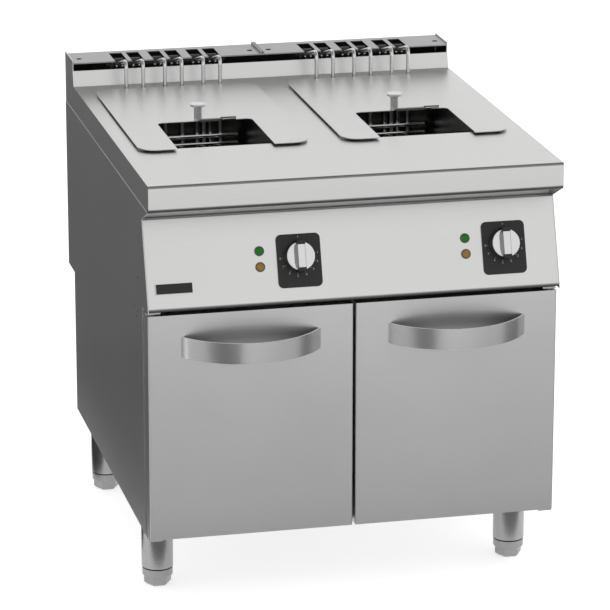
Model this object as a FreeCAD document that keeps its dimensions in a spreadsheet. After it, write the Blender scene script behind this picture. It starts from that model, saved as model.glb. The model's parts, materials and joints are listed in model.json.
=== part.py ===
import FreeCAD, Part
import math
import os
import Sketcher
from types import SimpleNamespace

# Floor-standing twin-tank electric fryer on a two-door cupboard.
# Frame: x to the right, y to the back, z up, origin on the floor below the middle of the whole box.
# Pieces are drawn from the worktop: y from its front edge, z from its top face, x from a centre line.

SIZES = {
    # whole appliance
    "overall_width": 800, "overall_depth": 930, "worktop_height": 850, "upstand_height": 49,
    "sheet": 1.5, "top_sheet": 2, "gap": 0.3, "running_gap": 0.05,
    # worktop and upstand
    "skirt_height": 52, "skirt_inset": 0.8, "nose_radius": 5, "lip_radius": 8,
    "strip_front_inset": 101, "strip_lean": 9, "strip_height": 31, "cheek_rise": 3.5,
    # fascia
    "fascia_top_back": 68.4, "fascia_top_drop": 80.2, "fascia_bottom_back": 12.24,
    "fascia_bottom_drop": 246.5, "fascia_flange_back": 88, "fascia_edge_radius": 3,
    # cupboard
    "side_flange": 20, "door_setback": 27, "door_thickness": 40, "frame_clearance": 3.5,
    "side_notch_drop": 250, "cupboard_drop": 705, "rear_step_drop": 404, "rear_step": 73,
    "base_flange": 36, "rail_height": 40, "rail_depth": 45,
    # doors and hinges
    "door_top_drop": 257.8, "door_bottom_gap": 2, "door_gap": 5, "door_side_inset": 1.5,
    "door_corner_radius": 3, "liner_inset": 4, "liner_depth": 14, "liner_clearance": 2,
    "hinge_inset": 9, "hinge_plate": 3, "hinge_plate_width": 26,
    "hinge_plate_depth": 66, "hinge_pin_radius": 4, "hinge_pin_length": 20, "bush_wall": 2.5,
    "bush_flange": 1.2, "bush_rim": 3, "bush_spare": 2,
    "catch_offset": 60, "catch_width": 40, "catch_depth": 22, "catch_height": 12, "catch_lead": 2,
    # door handles
    "handle_chord": 269, "handle_reach": 72, "handle_height": 40, "handle_band": 3, "handle_drop": 300.8,
    # tanks
    "tank_width": 290, "tank_front": 272, "tank_back_inset": 142, "tank_corner": 40, "tank_straight": 190,
    "tank_depth": 290, "sump_width": 190, "sump_front": 300, "sump_back_inset": 240, "tank_flange": 14,
    "drain_radius": 17, "drain_from_front": 360, "spigot_length": 22,
    # lids
    "lid_width": 335, "lid_front": 250, "lid_back_inset": 162.5, "lid_rise": 5.5, "lid_corner": 34,
    "cutout_width": 190, "cutout_back": 460, "cutout_corner": 12, "notch_left": 14, "notch_right": 64,
    "notch_depth": 5, "lid_guide_gap": 3, "lid_guide_drop": 10, "lid_guide_end": 50, "lid_rest_width": 10,
    "lid_rest_length": 24, "lid_rest_inset": 4, "lid_knob_offset": 10, "lid_knob_from_front": 473,
    "lid_knob_stem": 8.2, "lid_knob_head": 15.4, "lid_knob_height": 32, "lid_knob_head_height": 5,
    "lid_knob_edge": 1,
    # heating elements that swing up about a shaft in the upstand
    "tube_radius": 4, "riser_line_inset": 152, "leg_pitch": 35.2, "element_pitch": 80.4,
    "element_drop": 150, "element_front": 330, "tube_bend": 13, "foot_bend": 22, "u_bend": 17.2,
    "tube_slope": 16,
    "pivot_line_inset": 62, "pivot_rise": 35, "shaft_radius": 8, "shaft_length": 250,
    "collar_radius": 12, "collar_width": 20, "bearing_thickness": 6, "bearing_offset": 114, "bearing_wall": 4,
    "bearing_corner": 5, "bar_radius": 4, "upper_bar_drop": 104, "lower_bar_drop": 121, "bar_length": 264,
    "bulb_radius": 4.5, "bulb_offset": 49, "bulb_pitch": 28, "bulb_top_drop": 66, "bulb_length": 112,
    # covers of the upstand
    "cover_front_inset": 97, "slot_width": 26, "slot_back_inset": 21, "cover_lip": 1, "rib_height": 5,
    "rib_width": 3.2, "rib_gap": 0.7, "cover_hole_radius": 6, "cover_hole_inset": 20,
    "cover_hole_line_inset": 60, "channel_front_inset": 85, "channel_wall": 14,
    # fascia fittings, measured down the slope and out from its face
    "dial_offset": 94.5, "dial_width": 85, "dial_top": 44, "dial_height": 101, "dial_corner": 10,
    "dial_sheet": 2, "knob_down": 87, "knob_skirt_radius": 28.5, "knob_skirt_height": 5, "knob_bevel": 1,
    "knob_neck": 0.4, "knob_neck_height": 6, "knob_face_radius": 27, "knob_height": 19,
    "knob_cap_sheet": 2, "cap_inset": 0.5, "grip_width": 14, "grip_height": 9, "grip_reach": 2,
    "grip_round": 1.2, "spindle_radius": 3, "spindle_tail": 16,
    "lamp_offset": 19.3, "lamp_down": 72.3, "lamp_pitch": 30, "lamp_radius": 7.2, "lamp_body_radius": 6,
    "lamp_body_length": 26, "lens_seat": 0.8, "lens_edge": 2.4, "lens_shoulder": 3.6, "lens_crown": 4.2,
    "lens_round": 2, "lens_play": 0.1, "bezel_radius": 9.4, "bezel_edge": 1.4, "bezel_bevel": 0.8,
    "badge_inset": 17, "badge_width": 71, "badge_down": 122, "badge_height": 20.5, "badge_sheet": 1.6,
    # electrical pieces behind the fascia
    "tray_front": 78, "tray_depth": 150, "tray_inset": 20, "tray_wall": 18, "thermostat_side": 44,
    "thermostat_depth": 38, "thermostat_corner": 4, "thermostat_bore": 18, "contactor_width": 54,
    "contactor_depth": 78, "contactor_height": 62, "contactor_shoulder": 43, "terminal_length": 96,
    "terminal_depth": 34, "terminal_height": 30,
    # drains
    "pipe_bore": 12.5, "pipe_length": 64, "valve_radius": 23, "valve_length": 58, "outlet_length": 40,
    "stem_radius": 5, "stem_length": 16, "lever_length": 105, "lever_width": 20, "lever_sheet": 4,
    # legs and feet
    "leg_inset": 43.5, "leg_front": 183.7, "leg_back_inset": 172.5, "sleeve_radius": 31, "sleeve_wall": 2.5,
    "sleeve_length": 107, "leg_plate_radius": 40, "leg_plate": 4, "nut_height": 18, "stud_radius": 8,
    "stud_length": 88, "foot_radius": 27, "foot_ring": 6, "foot_ring_reach": 1.5, "foot_chamfer": 5,
    # supply gland, panel vents and side holes
    "gland_inset": 110, "gland_drop": 600, "gland_bore": 12, "gland_radius": 18, "gland_length": 26,
    "gland_neck": 8, "gland_nut": 24, "gland_nut_height": 9, "gland_cone": 2,
    "vent_width": 70, "vent_height": 5, "vent_pitch": 13, "vent_drop": 130, "side_hole_radius": 3,
}
VENT_ROWS = 6
VENT_COLUMNS = (-0.3, -0.1, 0.1, 0.3)
CONTACTOR_COLUMNS = (-0.375, 0.05)
# Holes in the side panels: back from the worktop's front edge, down from its top
SIDE_HOLES = [(115, 205), (117, 273), (156, 272), (135, 287), (820, 493)]

DOC = FreeCAD.newDocument("twin_tank_fryer")
SHEET = DOC.addObject("Spreadsheet::Sheet", "Sizes")
for row, (alias, number) in enumerate(SIZES.items(), start=1):
    SHEET.set(f"A{row}", alias)
    SHEET.set(f"B{row}", str(number))
    SHEET.setAlias(f"B{row}", alias)
DOC.recompute()


class Size:
    """A length or angle that knows its number and the spreadsheet expression behind it."""

    def __init__(self, number, text):
        self.number = float(number)
        self.text = text

    def join(self, sign, other, number):
        return Size(number, f"({self.text} {sign} {other.text})")

    def __add__(self, other):
        other = size(other)
        return self.join("+", other, self.number + other.number)

    def __sub__(self, other):
        other = size(other)
        return self.join("-", other, self.number - other.number)

    def __mul__(self, other):
        other = size(other)
        return self.join("*", other, self.number * other.number)

    def __truediv__(self, other):
        other = size(other)
        return self.join("/", other, self.number / other.number)

    def __radd__(self, other):
        return size(other) + self

    def __rsub__(self, other):
        return size(other) - self

    def __rmul__(self, other):
        return size(other) * self

    def __neg__(self):
        return size(0) - self


def size(value):
    return value if isinstance(value, Size) else Size(value, repr(float(value)))


def root(value):
    return Size(math.sqrt(value.number), f"sqrt({value.text})")


def angle_of(rise, run):
    number = math.degrees(math.atan2(rise.number, run.number))
    return Size(number, f"(atan2({rise.text}; {run.text}) / 1 deg)")


s = SimpleNamespace(**{alias: Size(number, f"Sizes.{alias}") for alias, number in SIZES.items()})

# Places that several pieces share
HALF = s.overall_width / 2
HALF_PITCH = s.overall_width / 4
WORKTOP_HALF = HALF - s.skirt_inset
STRIP_FRONT = s.overall_depth - s.strip_front_inset
TANK_BACK = s.overall_depth - s.tank_back_inset
RISER_LINE = s.overall_depth - s.riser_line_inset
PIVOT_LINE = s.overall_depth - s.pivot_line_inset
COVER_FRONT = s.overall_depth - s.cover_front_inset
FRONT_Y = (s.handle_reach - s.door_setback - s.overall_depth) / 2
TOP_Z = s.worktop_height
DOOR_BACK = s.door_setback + s.door_thickness
FRAME_FRONT = DOOR_BACK + s.frame_clearance
REAR_LOW = s.overall_depth - s.rear_step
DOOR_BOTTOM = s.cupboard_drop - s.door_bottom_gap
INNER_HALF = HALF - s.sheet - s.gap
FASCIA_RISE = s.fascia_bottom_drop - s.fascia_top_drop
FASCIA_LEAN = s.fascia_top_back - s.fascia_bottom_back
FASCIA_TILT = 90 - angle_of(FASCIA_LEAN, FASCIA_RISE)
HINGE_Y = s.door_setback + s.door_thickness / 2
HINGE_X = HALF - s.door_side_inset - s.hinge_inset
HINGE_PLATE_DROP = s.door_top_drop - s.door_bottom_gap
LEG_SHIFTS = [(element * s.element_pitch + side * s.leg_pitch / 2)
              for element in (-1, 0, 1) for side in (-1, 1)]
NODES = []


def bind(item, prop, value):
    item.setExpression(prop, size(value).text)


def place(item, x=0, y=FRONT_Y, z=TOP_Z):
    for axis, value in zip("xyz", (x, y, z)):
        bind(item, f"Placement.Base.{axis}", value)
    return item


def node(item, label):
    item.Label = label
    NODES.append(item)
    return item


def new_body(name):
    return DOC.addObject("PartDesign::Body", name)


def new_sketch(body, plane="XY_Plane", offset=0):
    sketch = body.newObject("Sketcher::SketchObject", "Sketch")
    support = [feature for feature in body.Origin.OriginFeatures if feature.Role == plane][0]
    sketch.AttachmentSupport = [(support, "")]
    sketch.MapMode = "FlatFace"
    bind(sketch, "AttachmentOffset.Base.z", offset)
    return sketch


def hold(sketch, geometry, point, u, v):
    """Fix a point of the sketch at its distances from the sketch's origin."""
    for kind, value in (("DistanceX", size(u)), ("DistanceY", size(v))):
        index = sketch.addConstraint(Sketcher.Constraint(kind, -1, 1, geometry, point, value.number))
        bind(sketch, f"Constraints[{index}]", value)


def at(u, v):
    return FreeCAD.Vector(size(u).number, size(v).number, 0)


def polygon(sketch, points):
    first = sketch.GeometryCount
    count = len(points)
    for index, point in enumerate(points):
        sketch.addGeometry(Part.LineSegment(at(*point), at(*points[(index + 1) % count])))
    for index in range(count):
        after = first + (index + 1) % count
        sketch.addConstraint(Sketcher.Constraint("Coincident", first + index, 2, after, 1))
    for index, point in enumerate(points):
        hold(sketch, first + index, 1, *point)
    return sketch


def rectangle(sketch, left, right, low, high):
    return polygon(sketch, [(left, low), (right, low), (right, high), (left, high)])


def circle(sketch, u, v, radius):
    index = sketch.addGeometry(Part.Circle(at(u, v), FreeCAD.Vector(0, 0, 1), size(radius).number))
    hold(sketch, index, 3, u, v)
    limit = sketch.addConstraint(Sketcher.Constraint("Radius", index, size(radius).number))
    bind(sketch, f"Constraints[{limit}]", radius)
    return sketch


def rounded(sketch, left, right, low, high, radius):
    """Rectangle with round corners: straight sides held by their ends, joined by quarter arcs."""
    left, right, low, high, radius = (size(value) for value in (left, right, low, high, radius))
    sides = [((left + radius, low), (right - radius, low)), ((right, low + radius), (right, high - radius)),
             ((right - radius, high), (left + radius, high)), ((left, high - radius), (left, low + radius))]
    centres = [(right - radius, low + radius), (right - radius, high - radius),
               (left + radius, high - radius), (left + radius, low + radius)]
    first = sketch.GeometryCount
    for start, end in sides:
        sketch.addGeometry(Part.LineSegment(at(*start), at(*end)))
    for turn, centre in enumerate(centres):
        rim = Part.Circle(at(*centre), FreeCAD.Vector(0, 0, 1), radius.number)
        sketch.addGeometry(Part.ArcOfCircle(rim, (turn - 1) * math.pi / 2, turn * math.pi / 2))
    for turn, (start, end) in enumerate(sides):
        hold(sketch, first + turn, 1, *start)
        hold(sketch, first + turn, 2, *end)
        arc = first + 4 + turn
        sketch.addConstraint(Sketcher.Constraint("Coincident", arc, 1, first + turn, 2))
        sketch.addConstraint(Sketcher.Constraint("Coincident", arc, 2, first + (turn + 1) % 4, 1))
        limit = sketch.addConstraint(Sketcher.Constraint("Radius", arc, radius.number))
        bind(sketch, f"Constraints[{limit}]", radius)
    return sketch


def pad(body, sketch, length, both=False, back=False, kind="Pad"):
    feature = body.newObject(f"PartDesign::{kind}", kind)
    feature.Profile = sketch
    bind(feature, "Length", length)
    feature.SideType = "Symmetric" if both else "One side"
    feature.Reversed = back
    DOC.recompute()
    return feature


def pocket(body, sketch, length, both=False, back=False):
    before = body.Tip.Shape.Volume
    feature = pad(body, sketch, length, both, back, "Pocket")
    if feature.Shape.Volume > before - 1e-6:
        raise RuntimeError(f"{body.Label}: a pocket cuts nothing")
    return feature


def revolve(body, sketch):
    feature = body.newObject("PartDesign::Revolution", "Revolution")
    feature.Profile = sketch
    feature.ReferenceAxis = (sketch, ["V_Axis"])
    DOC.recompute()
    return feature


def middle(shape):
    box = shape.BoundBox
    return FreeCAD.Vector((box.XMin + box.XMax) / 2, (box.YMin + box.YMax) / 2, (box.ZMin + box.ZMax) / 2)


def near(first, second):
    return abs(first - size(second).number) < 0.01


def shell(body, wall, opened):
    """Hollow the solid to a sheet of the given wall, open at the faces whose middle passes the test."""
    base = body.Tip
    names = [f"Face{index}" for index, face in enumerate(base.Shape.Faces, 1)
             if opened(middle(face), face.BoundBox)]
    feature = body.newObject("PartDesign::Thickness", "Thickness")
    feature.Base = (base, names)
    bind(feature, "Value", wall)
    feature.Join = "Intersection"
    feature.Reversed = True
    DOC.recompute()
    if not 0 < feature.Shape.Volume < base.Shape.Volume:
        raise RuntimeError(f"{body.Label}: the sheet did not form")
    return feature


def dress(body, radius, chosen, kind="Fillet"):
    """Round or bevel the edges whose middle and box pass the test."""
    base = body.Tip
    names = [f"Edge{index}" for index, edge in enumerate(base.Shape.Edges, 1)
             if chosen(middle(edge), edge.BoundBox)]
    feature = body.newObject(f"PartDesign::{kind}", kind)
    feature.Base = (base, names)
    bind(feature, "Radius" if kind == "Fillet" else "Size", radius)
    DOC.recompute()
    return feature


def upright(box):
    return box.XLength < 1e-6 and box.YLength < 1e-6


def block(x, y, z, length, width, height):
    item = DOC.addObject("Part::Box", "Block")
    for prop, value in (("Length", length), ("Width", width), ("Height", height)):
        bind(item, prop, value)
    return place(item, x, y, z)


def rod(x, y, z, radius, length, axis="z"):
    item = DOC.addObject("Part::Cylinder", "Rod")
    bind(item, "Radius", radius)
    bind(item, "Height", length)
    turns = {"x": FreeCAD.Rotation(FreeCAD.Vector(0, 1, 0), 90),
             "y": FreeCAD.Rotation(FreeCAD.Vector(1, 0, 0), -90), "z": FreeCAD.Rotation()}
    item.Placement = FreeCAD.Placement(FreeCAD.Vector(), turns[axis])
    return place(item, x, y, z)


def fused(items):
    item = DOC.addObject("Part::MultiFuse", "Fusion")
    item.Shapes = items
    return item


def cut(base, tool):
    item = DOC.addObject("Part::Cut", "Cut")
    item.Base = base
    item.Tool = tool
    return item


def together(items):
    item = DOC.addObject("Part::Compound", "Group")
    item.Links = items
    return item


def mirrored(source):
    item = DOC.addObject("Part::Mirroring", "Mirror")
    item.Source = source
    item.Normal = FreeCAD.Vector(1, 0, 0)
    return item


def on_fascia(item, x, down, out=0):
    """Seat a piece on the sloped fascia: x across, down along the slope, out from its face."""
    tilt = FASCIA_TILT.text
    length = root(FASCIA_RISE * FASCIA_RISE + FASCIA_LEAN * FASCIA_LEAN)
    rise, lean = FASCIA_RISE / length, FASCIA_LEAN / length
    turn = FreeCAD.Rotation(FreeCAD.Vector(1, 0, 0), FASCIA_TILT.number)
    item.Placement = FreeCAD.Placement(FreeCAD.Vector(), turn)
    place(item, x, FRONT_Y + s.fascia_top_back - lean * down - rise * out,
          TOP_Z - s.fascia_top_drop - rise * down + lean * out)
    item.setExpression("Placement.Rotation.Angle", f"{tilt} * 1 deg")
    return item


def worktop():
    body = new_body("Worktop")
    strip_back = STRIP_FRONT + s.strip_lean
    profile = [(0, -s.skirt_height), (0, 0), (STRIP_FRONT, 0), (strip_back, s.strip_height),
               (s.overall_depth, s.strip_height), (s.overall_depth, -s.skirt_height)]
    pad(body, polygon(new_sketch(body, "YZ_Plane"), profile), 2 * WORKTOP_HALF, both=True)
    dress(body, s.nose_radius, lambda mid, box: near(mid.y, 0) and near(mid.z, 0) and box.XLength > 1)
    shell(body, s.top_sheet, lambda mid, box: near(mid.z, -s.skirt_height) or near(mid.y, s.overall_depth)
          or near(mid.z, s.strip_height))
    cheek_top = s.upstand_height + s.cheek_rise
    cheek = [(strip_back, s.strip_height / 2), (s.overall_depth, s.strip_height / 2),
             (s.overall_depth, cheek_top), (strip_back, cheek_top)]
    for offset, inward in ((-WORKTOP_HALF, False), (WORKTOP_HALF, True)):
        pad(body, polygon(new_sketch(body, "YZ_Plane", offset), cheek), s.top_sheet, back=inward)
    openings = new_sketch(body)
    for side in (-1, 1):
        centre = side * HALF_PITCH
        rounded(openings, centre - s.tank_width / 2, centre + s.tank_width / 2, s.tank_front, TANK_BACK,
                s.tank_corner)
    pocket(body, openings, 4 * s.top_sheet, both=True)
    lip = rectangle(new_sketch(body, "YZ_Plane"), s.top_sheet / 2, s.fascia_flange_back, -s.skirt_height,
                    s.top_sheet - s.skirt_height)
    pad(body, lip, 2 * (WORKTOP_HALF - s.top_sheet), both=True)
    for inset, radius in ((s.top_sheet, s.lip_radius - s.top_sheet), (size(0), s.lip_radius)):
        dress(body, radius, lambda mid, box: near(mid.y, inset) and near(mid.z, inset - s.skirt_height)
              and box.XLength > s.tank_width.number)
    return node(place(body), "worktop")


def tank_form(body, wall, solid):
    """Straight upper part and funnel of a tank: its outside, or its hollow when the wall is 0."""
    half = s.tank_width / 2 + wall
    front, back = s.tank_front - wall, TANK_BACK + wall
    corner = s.tank_corner + wall
    shrink = s.sheet - wall
    sump_half = s.sump_width / 2 - shrink
    sump_back = s.overall_depth - s.sump_back_inset - shrink
    upper = rounded(new_sketch(body, offset=-s.top_sheet), -half, half, front, back, corner)
    height = s.tank_straight - s.top_sheet
    if solid:
        pad(body, upper, height, back=True)
    else:
        pocket(body, upper, height)
    funnel = body.newObject(f"PartDesign::{'Additive' if solid else 'Subtractive'}Loft", "Funnel")
    funnel.Profile = rounded(new_sketch(body, offset=-s.tank_straight), -half, half, front, back, corner)
    funnel.Sections = [rounded(new_sketch(body, offset=shrink - s.tank_depth), -sump_half, sump_half,
                               s.sump_front + shrink, sump_back, corner)]
    funnel.Ruled = True
    DOC.recompute()


def tank(label, side):
    body = new_body("Tank")
    tank_form(body, s.sheet, True)
    tank_form(body, size(0), False)
    half = s.tank_width / 2 + s.sheet
    front, back = s.tank_front - s.sheet, TANK_BACK + s.sheet
    corner = s.tank_corner + s.sheet
    rim = new_sketch(body, offset=-s.top_sheet)
    rounded(rim, -half - s.tank_flange, half + s.tank_flange, front - s.tank_flange, back + s.tank_flange,
            corner + s.tank_flange)
    rounded(rim, -s.tank_width / 2, s.tank_width / 2, s.tank_front, TANK_BACK, s.tank_corner)
    pad(body, rim, s.sheet, back=True)
    spigot = circle(new_sketch(body, offset=-s.tank_depth + s.sheet / 2), 0, s.drain_from_front,
                    s.drain_radius + s.sheet)
    pad(body, spigot, s.spigot_length, back=True)
    bore = circle(new_sketch(body, offset=-s.tank_depth + 2 * s.sheet), 0, s.drain_from_front, s.drain_radius)
    pocket(body, bore, s.spigot_length + 4 * s.sheet)
    return node(place(body, side * HALF_PITCH), label)


def side_panel():
    body = new_body("SidePanel")
    low, top, notch = -s.cupboard_drop, -s.skirt_height, -s.side_notch_drop
    profile = [(FRAME_FRONT, top), (FRAME_FRONT, low), (REAR_LOW, low), (REAR_LOW, -s.rear_step_drop),
               (s.overall_depth, -s.rear_step_drop), (s.overall_depth, top)]
    pad(body, polygon(new_sketch(body, "YZ_Plane", -HALF), profile), s.side_flange)
    inner = -HALF + s.side_flange
    shell(body, s.sheet, lambda mid, box: near(mid.x, inner))
    # The front fold stops below the fascia, where a flat nose follows the slope instead
    clear = new_sketch(body, "YZ_Plane", -HALF + s.sheet)
    rectangle(clear, FRAME_FRONT - s.sheet, s.fascia_flange_back + s.sheet, -HINGE_PLATE_DROP - s.gap, top)
    rectangle(clear, s.overall_depth - 2 * s.sheet - s.gap, s.overall_depth - s.sheet, top - 2 * s.sheet, top)
    pocket(body, clear, 2 * s.side_flange, back=True)
    nose = [(s.lip_radius, top), (s.fascia_top_back, -s.fascia_top_drop),
            (s.fascia_bottom_back, -s.fascia_bottom_drop), (s.fascia_bottom_back, notch),
            (FRAME_FRONT + s.sheet, notch), (FRAME_FRONT + s.sheet, top)]
    pad(body, polygon(new_sketch(body, "YZ_Plane", -HALF), nose), s.sheet)
    holes = new_sketch(body, "YZ_Plane", -HALF)
    for back, drop in SIDE_HOLES:
        circle(holes, back, -drop, s.side_hole_radius)
    pocket(body, holes, 4 * s.sheet, both=True)
    left = node(place(body), "side_panel_left")
    node(mirrored(left), "side_panel_right")


def rear_panel():
    body = new_body("RearPanel")
    back, step = s.overall_depth - s.sheet, REAR_LOW - s.sheet
    ledge = -s.rear_step_drop + s.sheet
    low = -s.cupboard_drop + 2 * s.sheet
    top = s.upstand_height - s.sheet
    shelf = s.overall_depth - s.side_flange
    profile = [(back, top), (back, ledge), (step, ledge), (step, low), (step - s.sheet, low),
               (step - s.sheet, ledge + s.sheet), (back - s.sheet, ledge + s.sheet),
               (back - s.sheet, top - s.sheet), (shelf, top - s.sheet), (shelf, top)]
    width = 2 * (WORKTOP_HALF - s.top_sheet - s.gap)
    pad(body, polygon(new_sketch(body, "YZ_Plane"), profile), width, both=True)
    vents = new_sketch(body, "XZ_Plane", -s.overall_depth)
    for column in VENT_COLUMNS:
        for row in range(VENT_ROWS):
            low = -s.vent_drop - row * s.vent_pitch
            left = column * s.overall_width - s.vent_width / 2
            rectangle(vents, left, left + s.vent_width, low, low + s.vent_height)
    pocket(body, vents, 8 * s.sheet, both=True)
    hole = new_sketch(body, "XZ_Plane", -REAR_LOW)
    circle(hole, HALF - s.gland_inset, -s.gland_drop, s.gland_radius)
    pocket(body, hole, 8 * s.sheet, both=True)
    return node(place(body), "rear_panel")


def pan(label, left, right, front, back, low, high, opened):
    """Box folded from sheet, open on the side that the test picks."""
    body = new_body("Pan")
    pad(body, rectangle(new_sketch(body, offset=low), left, right, front, back), high - low)
    shell(body, s.sheet, opened)
    return node(place(body), label)


def cupboard():
    side_panel()
    rear_panel()
    inside = s.cupboard_drop - s.sheet
    inner_front = FRAME_FRONT + s.sheet
    floor_top = -inside + s.base_flange
    pan("base_pan", -INNER_HALF, INNER_HALF, inner_front, REAR_LOW - 2 * s.sheet, -inside, floor_top,
        lambda mid, box: near(mid.z, floor_top))
    rail_top = -HINGE_PLATE_DROP
    rail_back = inner_front + s.rail_depth
    pan("front_rail", -INNER_HALF, INNER_HALF, inner_front, rail_back, rail_top - s.rail_height, rail_top,
        lambda mid, box: near(mid.y, rail_back))


def control_panel():
    body = new_body("ControlPanel")
    back = s.fascia_flange_back
    profile = [(s.fascia_top_back, -s.fascia_top_drop), (s.fascia_bottom_back, -s.fascia_bottom_drop),
               (back, -s.fascia_bottom_drop), (back, -s.fascia_top_drop)]
    pad(body, polygon(new_sketch(body, "YZ_Plane"), profile), 2 * INNER_HALF, both=True)
    front_limit = s.fascia_top_back.number + 1
    dress(body, s.fascia_edge_radius, lambda mid, box: box.XLength > 1 and mid.y < front_limit)
    shell(body, s.sheet, lambda mid, box: near(mid.y, back) or near(abs(mid.x), INNER_HALF))
    holes = new_sketch(body)
    on_slope = FreeCAD.Rotation(FreeCAD.Vector(1, 0, 0), FASCIA_TILT.number)
    holes.AttachmentOffset = FreeCAD.Placement(FreeCAD.Vector(), on_slope)
    bind(holes, "AttachmentOffset.Base.y", s.fascia_top_back)
    bind(holes, "AttachmentOffset.Base.z", -s.fascia_top_drop)
    holes.setExpression("AttachmentOffset.Rotation.Angle", f"{FASCIA_TILT.text} * 1 deg")
    for side in (-1, 1):
        circle(holes, side * HALF_PITCH + s.dial_offset, -s.knob_down, 2 * s.spindle_radius)
        for lamp in (0, 1):
            circle(holes, side * HALF_PITCH + s.lamp_offset, -s.lamp_down - lamp * s.lamp_pitch,
                   s.lamp_body_radius + s.gap)
    pocket(body, holes, 6 * s.sheet, both=True)
    fold_low = -s.fascia_top_drop - s.sheet / 2
    upright_fold = rectangle(new_sketch(body, "YZ_Plane"), back - s.sheet, back, fold_low, -s.skirt_height)
    pad(body, upright_fold, 2 * INNER_HALF, both=True)
    return node(place(body), "control_panel")


def turned(profile):
    """Round piece turned from a profile of (radius, height) points."""
    body = new_body("Turned")
    revolve(body, polygon(new_sketch(body, "XZ_Plane"), profile))
    return body


def fascia_fittings():
    plates, greens, ambers, bezels = [], [], [], []
    for side in (-1, 1):
        dial_x = side * HALF_PITCH + s.dial_offset
        plate = new_body("DialPlate")
        half = s.dial_width / 2
        pad(plate, rounded(new_sketch(plate), -half, half, s.knob_down - s.dial_top - s.dial_height,
                           s.knob_down - s.dial_top, s.dial_corner), s.dial_sheet)
        pocket(plate, circle(new_sketch(plate), 0, 0, 2 * s.spindle_radius), 4 * s.dial_sheet, both=True)
        plates.append(on_fascia(plate, dial_x, s.knob_down))
        for lamp, lenses in enumerate((greens, ambers)):
            seat = (side * HALF_PITCH + s.lamp_offset, s.lamp_down + lamp * s.lamp_pitch)
            body_radius, rim = s.lamp_body_radius, s.lamp_radius
            tail = -s.lamp_body_length
            lens = turned([(0, tail), (body_radius, tail), (body_radius, s.lens_seat), (rim, s.lens_seat),
                           (rim, s.lens_edge), (rim - s.lens_round, s.lens_shoulder), (0, s.lens_crown)])
            lenses.append(on_fascia(lens, *seat))
            hole, pocket_radius = body_radius + s.gap, rim + s.lens_play
            ring = turned([(hole, 0), (s.bezel_radius, 0), (s.bezel_radius, s.bezel_edge),
                           (s.bezel_radius - s.bezel_bevel, s.lens_edge), (pocket_radius, s.lens_edge),
                           (pocket_radius, s.lens_seat), (hole, s.lens_seat)])
            bezels.append(on_fascia(ring, *seat))
    node(together(plates), "dial_plates")
    node(together(greens), "green_lamps")
    node(together(ambers), "amber_lamps")
    node(together(bezels), "lamp_bezels")
    badge = new_body("Badge")
    pad(badge, rounded(new_sketch(badge), 0, s.badge_width, -s.badge_height, 0, s.badge_sheet), s.badge_sheet)
    node(on_fascia(badge, s.badge_inset - HALF, s.badge_down), "badge_plate")


def knob(name, side):
    x = side * HALF_PITCH + s.dial_offset
    base = s.dial_sheet + s.gap
    rim, skirt = s.knob_height, s.knob_skirt_radius
    skirt_top = base + s.knob_skirt_height
    neck = (s.knob_face_radius + s.knob_neck, base + s.knob_neck_height)
    body = turned([(s.spindle_radius, base), (skirt, base), (skirt, skirt_top - s.knob_bevel),
                   (skirt - s.knob_bevel, skirt_top), neck, (s.knob_face_radius, rim),
                   (s.spindle_radius, rim)])
    node(on_fascia(body, x, s.knob_down), f"{name}_body")
    cap = new_body("KnobCap")
    pad(cap, circle(new_sketch(cap, offset=rim), 0, 0, s.knob_face_radius - s.cap_inset), s.knob_cap_sheet)
    half = s.grip_width / 2
    reach = s.knob_face_radius + s.grip_reach
    seat = rim + s.knob_cap_sheet / 2
    pad(cap, rectangle(new_sketch(cap, offset=seat), -half, half, -reach, reach), s.grip_height)
    dress(cap, s.grip_round, lambda mid, box: near(mid.z, seat + s.grip_height))
    node(on_fascia(cap, x, s.knob_down), f"{name}_cap")
    tail = -s.spindle_tail
    spindle = turned([(0, tail), (s.spindle_radius, tail), (s.spindle_radius, rim), (0, rim)])
    node(on_fascia(spindle, x, s.knob_down), f"{name}_spindle")


def electrical():
    tray_back = s.tray_front + s.tray_depth
    tray_low = s.sheet - s.fascia_bottom_drop
    tray_top = tray_low + s.tray_wall
    half = HALF - s.tray_inset
    pan("wiring_tray", -half, half, s.tray_front, tray_back, tray_low, tray_top,
        lambda mid, box: near(mid.z, tray_top))
    thermostats = []
    for side in (-1, 1):
        body = new_body("Thermostat")
        half_side = s.thermostat_side / 2
        pad(body, rounded(new_sketch(body, offset=-s.sheet), -half_side, half_side, -half_side, half_side,
                          s.thermostat_corner), s.thermostat_depth, back=True)
        pocket(body, circle(new_sketch(body, offset=-s.sheet), 0, 0, s.spindle_radius + s.running_gap),
               s.thermostat_bore)
        thermostats.append(on_fascia(body, side * HALF_PITCH + s.dial_offset, s.knob_down))
    node(together(thermostats), "thermostats")
    floor = TOP_Z + tray_low + s.sheet
    middle_y = FRONT_Y + s.tray_front + s.tray_depth / 2
    blocks = []
    for column in CONTACTOR_COLUMNS:
        left = column * s.overall_width - s.contactor_width / 2
        foot = block(left, middle_y - s.contactor_depth / 2, floor, s.contactor_width, s.contactor_depth,
                     s.contactor_shoulder)
        head = block(left, middle_y - s.contactor_depth / 4, floor, s.contactor_width, s.contactor_depth / 2,
                     s.contactor_height)
        blocks.append(fused([foot, head]))
    node(together(blocks), "contactors")
    strip = block(HALF_PITCH - s.terminal_length, middle_y - s.terminal_depth / 2, floor, s.terminal_length,
                  s.terminal_depth, s.terminal_height)
    node(strip, "terminal_block")


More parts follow.
